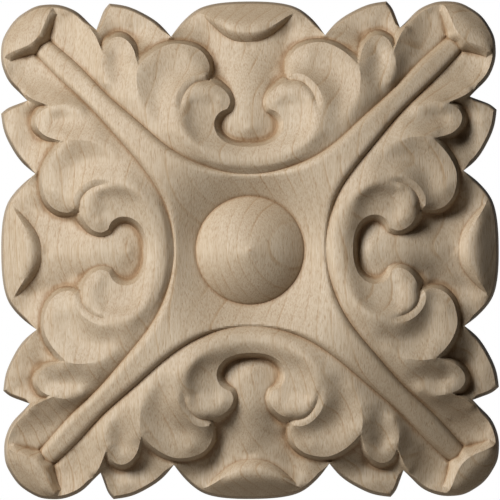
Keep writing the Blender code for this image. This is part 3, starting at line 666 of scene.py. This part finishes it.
def eighth(gap, fill, back_fill):
    """Face, edge and back of one eighth, as triangles of (u, v, height) places.

    Beside them stands a mark for each corner: 1 on the carved face and 0 on the rest.
    """
    drawing = Drawing(gap)
    centre = np.zeros((1, 3))
    places = scattered(drawing, fill)
    shoulder = drawing.rings[0]
    lines = drawing.lines + border(places, drawing.lines)
    corners, faces = triangulated(places, lines, np.vstack([centre, shoulder]))
    triangles = [[corners[i] for i in face] for face in faces]
    border_places = {tuple(place) for place in shoulder}
    carved = [[float(corners[i] not in border_places) for i in face] for face in faces]

    base = drawing.outline * [1, 1, 0]
    rings = drawing.rings + [base]
    for upper, lower in zip(rings, rings[1:]):
        for i in range(len(upper) - 1):
            triangles.append([upper[i], lower[i], lower[i + 1]])
            triangles.append([upper[i], lower[i + 1], upper[i + 1]])

    flat_lines = [base]
    steps = np.arange(back_fill, HALF_SIDE - BACK_MARGIN, back_fill)
    middle = np.array([(u, u, 0) for u in steps])
    upright = middle * [0, 1, 0]
    inner = [(u, v, 0) for u in steps for v in steps if v > u]
    inner = np.vstack([middle, upright, inner])
    sides = border(inner, flat_lines)
    for side in sides:
        side[0, 2] = 0
    corners, faces = triangulated(inner, flat_lines + sides, np.vstack([centre, base]))
    triangles += [[corners[i] for i in face][::-1] for face in faces]
    carved += [[0.0] * 3] * (len(triangles) - len(carved))
    return np.array(triangles), np.array(carved)


class Term:
    """A value in a node tree; an expression on it adds the nodes that work it out."""

    def __init__(self, graph, socket):
        self.graph = graph
        self.socket = socket

    def maths(self, operation, *values):
        """A Math node on this value and up to two more."""
        inputs = dict(enumerate((self,) + values))
        return self.graph.node("ShaderNodeMath", {"operation": operation}, inputs)

    def reflected(self, operation, other):
        """A Math node with the plain number first."""
        return self.graph.node("ShaderNodeMath", {"operation": operation}, {0: other, 1: self})

    def __add__(self, other):
        return self.maths("ADD", other)

    def __sub__(self, other):
        return self.maths("SUBTRACT", other)

    def __mul__(self, other):
        return self.maths("MULTIPLY", other)

    def __truediv__(self, other):
        return self.maths("DIVIDE", other)

    def __pow__(self, other):
        return self.maths("POWER", other)

    def __radd__(self, other):
        return self.reflected("ADD", other)

    def __rsub__(self, other):
        return self.reflected("SUBTRACT", other)

    def __rmul__(self, other):
        return self.reflected("MULTIPLY", other)

    def __rtruediv__(self, other):
        return self.reflected("DIVIDE", other)

    def fraction(self):
        return self.maths("FRACT")

    def absolute(self):
        return self.maths("ABSOLUTE")

    def step(self, low, high):
        """Smooth rise from 0 at low to 1 at high, or a fall where low is above high."""
        settings = {"interpolation_type": "SMOOTHSTEP"}
        if low > high:
            return 1 - self.step(high, low)
        return self.graph.node("ShaderNodeMapRange", settings,
                               {"Value": self, "From Min": low, "From Max": high})


class Graph:
    """A node tree that is being built."""

    def __init__(self, tree):
        self.tree = tree

    def connect(self, socket, value):
        if isinstance(value, Term):
            self.tree.links.new(value.socket, socket)
        elif isinstance(value, list):
            for part in value:
                self.connect(socket, part)
        else:
            socket.default_value = value

    def place(self, kind, settings=None, inputs=None):
        """A node of a type, with its settings set first and then its sockets."""
        node = self.tree.nodes.new(kind)
        for name, value in (settings or {}).items():
            setattr(node, name, value)
        for key, value in (inputs or {}).items():
            self.connect(node.inputs[key], value)
        return node

    def node(self, kind, settings=None, inputs=None, output=0):
        """The same, giving one of the node's outputs."""
        return Term(self, self.place(kind, settings, inputs).outputs[output])

    def noise(self, vector, detail=2.0):
        """Cloudy values from 0 to 1, one cloud to each unit of the vector."""
        return self.node("ShaderNodeTexNoise", {},
                         {"Vector": vector, "Scale": 1.0, "Detail": detail})

    def tinted(self, colour, tint, factor):
        """The colour multiplied by a tint, as far as the factor says."""
        settings = {"data_type": "RGBA", "blend_type": "MULTIPLY"}
        inputs = {MIX_FACTOR: factor, MIX_FIRST: colour, MIX_SECOND: tint}
        return self.node("ShaderNodeMix", settings, inputs, output=MIX_RESULT)


def opaque(colour):
    """A colour with full alpha."""
    return (*colour, 1.0)


def maple(finish):
    """Pale unfinished maple, with growth rings, rays and fibres running through the solid."""
    material = bpy.data.materials.new("maple")
    material.use_nodes = True
    graph = Graph(material.node_tree)
    shader = material.node_tree.nodes["Principled BSDF"]

    place = graph.node("ShaderNodeTexCoord", output="Object")

    def stretched(cloud):
        """The place in clouds of a width across the grain and a length along it."""
        width, length = cloud
        scale = (1 / width, 1 / width, 1 / length)
        return graph.node("ShaderNodeMapping", {}, {"Vector": place, "Scale": scale})

    sides = graph.place("ShaderNodeSeparateXYZ", {}, {0: place}).outputs
    across, back, up = (Term(graph, side) for side in sides)
    sway = graph.noise(stretched(SWAY_CLOUD), 1.0) - 0.5
    ripple = graph.noise(stretched(RIPPLE_CLOUD), 1.0) - 0.5
    tilt = finish.ring_tilt
    radial = across * math.sin(tilt) - back * math.cos(tilt) + up * RING_LEAN
    rings = (radial + sway * RING_SWAY + ripple * RING_RIPPLE) / finish.ring_gap + RING_START
    phase = rings.fraction()
    line = phase.step(*LINE_RISE) * phase.step(*LINE_FALL)
    depth = phase.step(*LATE_RISE)
    presence = graph.noise(stretched(BREAK_CLOUD)).step(*BREAK_RISE)

    fibre = graph.noise(stretched(FIBRE_CLOUD))
    rays = graph.noise(stretched(RAY_CLOUD), 1.0).step(*RAY_RISE)
    tone = graph.noise(stretched(TONE_CLOUD)).step(*TONE_RISE)
    hollow = graph.node("ShaderNodeAttribute", {"attribute_name": "hollow"}, {}, output="Fac")
    facing = graph.node("ShaderNodeTexCoord", output="Normal")
    upright = Term(graph, graph.place("ShaderNodeSeparateXYZ", {}, {0: facing}).outputs[2])
    end_grain = upright.absolute()

    colour = graph.tinted(opaque(finish.wood), opaque(finish.late_wood), depth * LATE_SHARE)
    shown = line * (FAINT_LINE + presence * (1 - FAINT_LINE))
    colour = graph.tinted(colour, opaque(finish.ring_line), shown)
    colour = graph.tinted(colour, opaque(finish.ray), rays * RAY_SHARE)
    colour = graph.tinted(colour, opaque(finish.fibre), fibre.step(*FIBRE_RISE))
    colour = graph.tinted(colour, opaque(finish.fibre), tone * TONE_SHARE)
    # Painted shade: the creases are darkened as far as they are hollow, where shade falls.
    colour = graph.tinted(colour, opaque(finish.crease), hollow.step(*CREASE_SHADE_RISE))
    colour = graph.tinted(colour, opaque(finish.end_grain), end_grain)
    graph.connect(shader.inputs["Roughness"], finish.roughness + fibre * ROUGH_FIBRE)

    # Painted shade of the pilot dimple at the button's centre, in the crease shade's tint.
    from_axis = (across * across + up * up) ** 0.5
    colour = graph.tinted(colour, opaque(finish.crease), from_axis.step(PILOT_PIT_SHADE, 0.0))
    graph.connect(shader.inputs["Base Color"], colour)

    relief = fibre * FIBRE_HEIGHT + rays * RAY_HEIGHT + line * LINE_HEIGHT
    bump = graph.node("ShaderNodeBump", {}, {
        "Height": relief, "Strength": finish.bump, "Distance": FIBRE_RELIEF})
    graph.connect(shader.inputs["Normal"], bump)
    shader.inputs["Specular IOR Level"].default_value = finish.gloss
    return material


def plain(name, colour, roughness):
    """One even finish, for the floor."""
    material = bpy.data.materials.new(name)
    material.use_nodes = True
    shader = material.node_tree.nodes["Principled BSDF"]
    shader.inputs["Base Color"].default_value = opaque(colour)
    shader.inputs["Roughness"].default_value = roughness
    return material


def repeat_tree(material):
    """Node tree that mirrors one eighth, turns the pair round the centre and welds the seams."""
    tree = bpy.data.node_groups.new("mirror_and_turn", "GeometryNodeTree")
    sockets = tree.interface
    sockets.new_socket("Geometry", in_out="INPUT", socket_type="NodeSocketGeometry")
    sockets.new_socket("Turns", in_out="INPUT", socket_type="NodeSocketInt")
    sockets.new_socket("Weld Distance", in_out="INPUT", socket_type="NodeSocketFloat")
    sockets.new_socket("Geometry", in_out="OUTPUT", socket_type="NodeSocketGeometry")
    graph = Graph(tree)
    given = graph.place("NodeGroupInput")
    eighth_part, turns, weld = (Term(graph, given.outputs[k]) for k in range(3))
    mirrored = graph.node("GeometryNodeTransform", {}, {
        "Geometry": eighth_part, "Scale": (-1, 1, 1)})
    flipped = graph.node("GeometryNodeFlipFaces", {}, {"Mesh": mirrored})
    pair = graph.node("GeometryNodeJoinGeometry", {}, {"Geometry": [flipped, eighth_part]})
    points = graph.node("GeometryNodePoints", {}, {"Count": turns})
    angle = graph.node("GeometryNodeInputIndex") * (2 * math.pi) / turns
    rotation = graph.node("ShaderNodeCombineXYZ", {}, {"Y": angle})
    copies = graph.node("GeometryNodeInstanceOnPoints", {}, {
        "Points": points, "Instance": pair, "Rotation": rotation})
    solid = graph.node("GeometryNodeRealizeInstances", {}, {"Geometry": copies})
    welded = graph.node("GeometryNodeMergeByDistance", {}, {
        "Geometry": solid, "Distance": weld})
    finished = graph.node("GeometryNodeSetMaterial", {}, {
        "Geometry": welded, "Material": material})
    graph.place("NodeGroupOutput", {}, {"Geometry": finished})
    return tree


def repeated(seed, tree, values):
    """Plain mesh of an object after a node tree with its inputs set, which the object loses."""
    modifier = seed.modifiers.new(tree.name, "NODES")
    modifier.node_group = tree
    for item in tree.interface.items_tree:
        if item.in_out == "INPUT" and item.name in values:
            modifier[item.identifier] = values[item.name]
    bpy.context.view_layer.update()
    shown = seed.evaluated_get(bpy.context.evaluated_depsgraph_get())
    mesh = bpy.data.meshes.new_from_object(shown)
    seed.modifiers.remove(modifier)
    return mesh


def seed_object(triangles, carved):
    """The eighth as an object, each face with its own corners, and which of them are carved."""
    corners = triangles.reshape(-1, 3)
    places = np.column_stack([corners[:, 0], -corners[:, 2], corners[:, 1]]) * MILLIMETRE
    faces = np.arange(len(corners)).reshape(-1, 3)
    mesh = bpy.data.meshes.new("eighth")
    mesh.from_pydata(places.tolist(), [], faces.tolist())
    mesh.attributes.new("carved", "FLOAT", "POINT").data.foreach_set("value", carved.ravel())
    seed = bpy.data.objects.new("eighth", mesh)
    bpy.context.scene.collection.objects.link(seed)
    return seed


def cleaned(mesh):
    """Drops slivers and turns every face outwards."""
    work = bmesh.new()
    work.from_mesh(mesh)
    bmesh.ops.dissolve_degenerate(work, edges=work.edges, dist=SLIVER)
    bmesh.ops.triangulate(work, faces=work.faces)
    bmesh.ops.recalc_face_normals(work, faces=work.faces)
    work.to_mesh(mesh)
    work.free()


def read(mesh, rows, name, width):
    """An array of one value of every row of a mesh."""
    values = np.zeros(len(rows) * width, np.float32 if name != "vertices" else np.int32)
    rows.foreach_get(name, values)
    return values.reshape(-1, width)


def averaged(values, edges, weight):
    """Each value moved to the middle of its neighbours', as far as its weight says."""
    total = np.zeros(len(values))
    count = np.zeros(len(values))
    for near, far in ((0, 1), (1, 0)):
        total += np.bincount(edges[:, near], values[edges[:, far]], len(values))
        count += np.bincount(edges[:, near], minlength=len(values))
    return values + weight * (total / np.maximum(count, 1) - values)


def wave(along, beside, waves):
    """A slow uneven swell over a surface, between about -1.5 and 1.5."""
    (first, first_phase), (second, second_phase), (third, fourth, last_phase) = waves
    swell = np.sin(first * beside + first_phase) * np.cos(second * along + second_phase)
    return swell + np.sin(third * along + fourth * beside + last_phase) / 2


def wandered(places):
    """Small wandering of a carver's cuts: none at the button, the middle or the silhouette."""
    x = places[:, 0]
    z = places[:, 2]
    room = HALF_SIDE - np.maximum(np.abs(x), np.abs(z))
    calm = np.clip(room / WANDER_FADE, 0, 1) * np.clip(np.hypot(x, z) / BUTTON_RADIUS - 1, 0, 1)
    moved = places.copy()
    moved[:, 0] += WANDER * calm * wave(x, z, ACROSS_WAVES)
    moved[:, 2] += WANDER * calm * wave(z, x, UP_WAVES)
    return moved


def finish_mesh(mesh):
    """Lets the cuts wander and notes how hollow each place is, for the painted crease shade."""
    cleaned(mesh)
    places = read(mesh, mesh.vertices, "co", 3).astype(float) / MILLIMETRE
    edges = read(mesh, mesh.edges, "vertices", 2)
    carved = read(mesh, mesh.attributes["carved"].data, "value", 1)[:, 0].astype(float)
    edges = edges[(carved[edges] > 0).any(axis=1)]
    level = places[:, 1].copy()
    hollow = np.zeros(len(places))
    for number in range(1, HOLLOW_ROUNDS + 1):
        level = averaged(level, edges, carved * HOLLOW_WEIGHT)
        if number == NARROW_ROUNDS:
            hollow += np.clip((places[:, 1] - level) / NARROW_DEPTH, 0, 1)
    hollow += np.clip((places[:, 1] - level) / HOLLOW_DEPTH, 0, 1)
    places = wandered(places) * MILLIMETRE
    mesh.vertices.foreach_set("co", places.astype(np.float32).ravel())
    mesh.attributes.remove(mesh.attributes["carved"])
    mesh.attributes.new("hollow", "FLOAT", "POINT").data.foreach_set("value", hollow)
    mesh.shade_smooth()
    mesh.set_sharp_from_angle(angle=math.radians(SHARP_ANGLE))
    mesh.update()


class RosetteSizes(bpy.types.PropertyGroup):
    """How finely the rosette is drawn and how many turned copies it has."""

    line_gap: FloatProperty(
        name="Line Gap", description="Distance between points along a cut",
        default=0.00036, min=0.0002, unit="LENGTH")
    fill_gap: FloatProperty(
        name="Fill Gap", description="Distance between points on a surface",
        default=0.00038, min=0.0002, unit="LENGTH")
    back_gap: FloatProperty(
        name="Back Gap", description="Distance between points on the flat back",
        default=0.006, min=0.001, unit="LENGTH")
    turns: IntProperty(
        name="Arms", description="Number of turned copies round the centre", default=4, min=1)


class MapleFinish(bpy.types.PropertyGroup):
    """Colours and grain of the wood, and its painted crease shade."""

    wood: FloatVectorProperty(
        name="Wood", description="Colour of the pale wood", subtype="COLOR",
        default=(0.55, 0.442, 0.312))
    late_wood: FloatVectorProperty(
        name="Late Wood", description="Tint towards the end of each year's growth",
        subtype="COLOR", default=(0.93, 0.90, 0.85))
    ring_line: FloatVectorProperty(
        name="Ring Line", description="Tint of the thin line that ends each year's growth",
        subtype="COLOR", default=(0.85, 0.77, 0.67))
    ray: FloatVectorProperty(
        name="Ray", description="Tint of the short upright flecks", subtype="COLOR",
        default=(0.80, 0.71, 0.61))
    fibre: FloatVectorProperty(
        name="Fibre", description="Tint of the darker fibres", subtype="COLOR",
        default=(0.82, 0.76, 0.69))
    # Painted shade: this tint darkens the deep cuts by how hollow they are, and the pilot dimple at
    # the button's centre.
    crease: FloatVectorProperty(
        name="Crease", description="Tint of the deep cuts", subtype="COLOR",
        default=(0.70, 0.59, 0.48))
    end_grain: FloatVectorProperty(
        name="End Grain", description="Tint where the fibres end", subtype="COLOR",
        default=(0.62, 0.57, 0.50))
    ring_gap: FloatProperty(
        name="Ring Gap", description="Thickness of one year's growth",
        default=0.0019, min=0.0001, unit="LENGTH")
    ring_tilt: FloatProperty(
        name="Ring Tilt", description="Turn of the growth rings out of the face",
        default=math.radians(36), unit="ROTATION")
    roughness: FloatProperty(
        name="Roughness", description="Roughness of the sanded wood", default=0.6,
        min=0.0, max=1.0, subtype="FACTOR")
    gloss: FloatProperty(
        name="Gloss", description="Specular level of the bare wood", default=0.35,
        min=0.0, max=1.0, subtype="FACTOR")
    bump: FloatProperty(
        name="Grain Relief", description="Strength of the fibres' relief", default=0.8,
        min=0.0, max=1.0, subtype="FACTOR")


class StudioSettings(bpy.types.PropertyGroup):
    """Light, floor and view."""

    view_width: FloatProperty(
        name="View Width", description="Width of the picture at the rosette's back",
        default=0.1025, unit="LENGTH")
    view_distance: FloatProperty(
        name="View Distance", description="Distance of the camera", default=4.0, unit="LENGTH")
    view_lift: FloatProperty(
        name="View Lift", description="How far the camera aims above the centre",
        default=0.00005, unit="LENGTH")
    view_roll: FloatProperty(
        name="View Roll", description="Clockwise turn of the camera about its view",
        default=math.radians(0.47), unit="ROTATION")
    key_power: FloatProperty(
        name="Key Power", description="Power of the soft light at the upper left",
        default=21.5, unit="POWER")
    back_power: FloatProperty(
        name="Back Power", description="Power of the weak light behind", default=1.5, unit="POWER")
    backdrop: FloatProperty(
        name="Backdrop", description="Glow of the white backdrop behind the rosette",
        default=0.3, min=0.0, max=1.0)
    surround: FloatProperty(
        name="Surround", description="Strength of the light from all round", default=0.012, min=0.0)
    surround_colour: FloatVectorProperty(
        name="Surround Colour", description="Colour of the light from all round", subtype="COLOR",
        default=(1.0, 0.66, 0.38))
    key_colour: FloatVectorProperty(
        name="Key Colour", description="Colour of the soft light at the upper left",
        subtype="COLOR", default=(0.97, 1.0, 1.05))
    floor_drop: FloatProperty(
        name="Floor Drop", description="Height of the rosette's centre above the floor",
        default=0.8, unit="LENGTH")
    floor_colour: FloatVectorProperty(
        name="Floor", description="Colour of the floor", subtype="COLOR",
        default=(0.80, 0.76, 0.70))


class ROSETTE_OT_carve(bpy.types.Operator):
    """Make the carved rosette."""

    bl_idname = "rosette.carve"
    bl_label = "Carve Rosette"

    def execute(self, context):
        sizes = context.scene.rosette_sizes
        gaps = [gap / MILLIMETRE for gap in (sizes.line_gap, sizes.fill_gap, sizes.back_gap)]
        seed = seed_object(*eighth(*gaps))
        wood = maple(context.scene.maple_finish)
        values = {"Turns": sizes.turns, "Weld Distance": WELD}
        mesh = repeated(seed, repeat_tree(wood), values)
        bpy.data.objects.remove(seed)
        finish_mesh(mesh)
        piece = bpy.data.objects.new(PIECE_NAME, mesh)
        context.scene.collection.objects.link(piece)
        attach(piece, "root")
        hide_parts(NODE_NAME)
        return {"FINISHED"}


def aimed(obj, position, target):
    """Puts a light or camera at a place, pointing at another."""
    obj.location = position
    obj.rotation_euler = (Vector(target) - Vector(position)).to_track_quat("-Z", "Y").to_euler()
    bpy.context.scene.collection.objects.link(obj)


def disc_light(name, position, power, colour):
    """A round soft light aimed at the rosette."""
    light = bpy.data.lights.new(name, "AREA")
    light.shape = "DISK"
    light.size = DISC_SIZE
    light.energy = power
    light.color = colour
    aimed(bpy.data.objects.new(name, light), position, (0, 0, 0))


class ROSETTE_OT_studio(bpy.types.Operator):
    """Make the floor, the light and the camera."""

    bl_idname = "rosette.studio"
    bl_label = "Set Up Studio"

    def execute(self, context):
        studio = context.scene.rosette_studio
        bpy.ops.mesh.primitive_circle_add(
            vertices=FLOOR_SIDES, radius=FLOOR_RADIUS, fill_type="NGON", location=(0, 0, 0))
        floor = context.active_object
        floor.name = "floor"
        floor.data.transform(Matrix.Translation((0, 0, -studio.floor_drop)))
        floor.data.materials.append(plain("pale floor", studio.floor_colour, FLOOR_ROUGHNESS))
        floor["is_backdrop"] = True

        turn = math.radians(KEY_TURN)
        lean = math.radians(KEY_LEAN)
        towards_key = Vector((math.sin(lean) * math.cos(turn), -math.cos(lean),
                              math.sin(lean) * math.sin(turn)))
        disc_light("key", towards_key * KEY_DISTANCE, studio.key_power, studio.key_colour)
        disc_light("behind", BACK_LIGHT_PLACE, studio.back_power, WHITE)

        world = bpy.data.worlds.new("studio")
        world.use_nodes = True
        graph = Graph(world.node_tree)
        world.node_tree.nodes.clear()
        seen = graph.node("ShaderNodeLightPath", output="Is Camera Ray")
        around = graph.node("ShaderNodeTexCoord", output="Generated")
        sides = graph.place("ShaderNodeSeparateXYZ", {}, {0: around}).outputs
        behind = Term(graph, sides[1]).step(*BACKDROP_RISE) * studio.backdrop
        glow = [studio.surround * part for part in studio.surround_colour]
        blend = {"data_type": "RGBA"}
        light = graph.node("ShaderNodeMix", blend, {
            MIX_FACTOR: behind, MIX_FIRST: opaque(glow), MIX_SECOND: opaque(WHITE)},
            output=MIX_RESULT)
        light = graph.node("ShaderNodeMix", blend, {
            MIX_FACTOR: seen, MIX_FIRST: light, MIX_SECOND: opaque(WHITE)}, output=MIX_RESULT)
        surround = graph.node("ShaderNodeBackground", {}, {"Color": light, "Strength": 1.0})
        graph.place("ShaderNodeOutputWorld", {}, {"Surface": surround})
        context.scene.world = world
        context.scene.view_settings.view_transform = "Standard"

        camera = bpy.data.cameras.new("camera")
        camera.lens = camera.sensor_width * studio.view_distance / studio.view_width
        camera.clip_end = FARTHEST
        viewer = bpy.data.objects.new("camera", camera)
        aim = (0, 0, studio.view_lift)
        aimed(viewer, (0, -studio.view_distance, studio.view_lift), aim)
        viewer.rotation_euler.rotate_axis("Z", -studio.view_roll)
        context.scene.camera = viewer
        return {"FINISHED"}


class ROSETTE_PT_panel(bpy.types.Panel):
    """Buttons and values of the rosette."""

    bl_idname = "ROSETTE_PT_panel"
    bl_label = "Carved Rosette"
    bl_space_type = "VIEW_3D"
    bl_region_type = "UI"
    bl_category = "Rosette"

    def draw(self, context):
        for group, button in (("rosette_sizes", "rosette.carve"), ("maple_finish", None),
                              ("rosette_studio", "rosette.studio")):
            settings = getattr(context.scene, group)
            box = self.layout.box()
            for name in settings.bl_rna.properties.keys():
                if name not in ("rna_type", "name"):
                    box.prop(settings, name)
            if button:
                box.operator(button)


SETTINGS = {"rosette_sizes": RosetteSizes, "maple_finish": MapleFinish,
            "rosette_studio": StudioSettings}
CLASSES = [*SETTINGS.values(), ROSETTE_OT_carve, ROSETTE_OT_studio, ROSETTE_PT_panel]


def register():
    for made in CLASSES:
        bpy.utils.register_class(made)
    for name, group in SETTINGS.items():
        setattr(bpy.types.Scene, name, PointerProperty(type=group))


def unregister():
    for name in SETTINGS:
        delattr(bpy.types.Scene, name)
    for made in reversed(CLASSES):
        bpy.utils.unregister_class(made)


def corners(box):
    return [list(corner) for corner in box]


def main():
    cad_box = corners(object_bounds())
    register()
    bpy.ops.rosette.carve()
    bpy.ops.rosette.studio()
    {"cad": cad_box, "visual": corners(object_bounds())}


if __name__ == "__main__":
    main()
